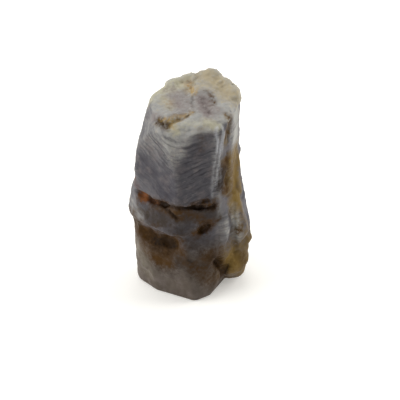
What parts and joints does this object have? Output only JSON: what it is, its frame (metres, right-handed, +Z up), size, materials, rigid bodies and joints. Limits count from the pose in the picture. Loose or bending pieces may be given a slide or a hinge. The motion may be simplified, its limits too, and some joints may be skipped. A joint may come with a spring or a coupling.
{
  "type": "rough sapphire crystal",
  "caption": "Rough, uncut sapphire: a stubby barrel-shaped six-sided crystal with a broken stepped top, parting cracks, a ledge and brown iron stains, standing on its flat broken foot.",
  "frame": {"origin": "centre of the crystal's bounding box at the foot it stands on", "axes": "+Z up along the crystal's long axis, -Y towards the viewer of the picture, +X to the viewer's right"},
  "size_m": [0.011, 0.0102, 0.0196],
  "materials": {
    "rough_sapphire": "natural cloudy blue-grey crystal, satin, with fine growth lines and brown iron stains"
  },
  "bodies": {
    "root": {"sapphire_crystal": "rough_sapphire"}
  },
  "joints": []
}
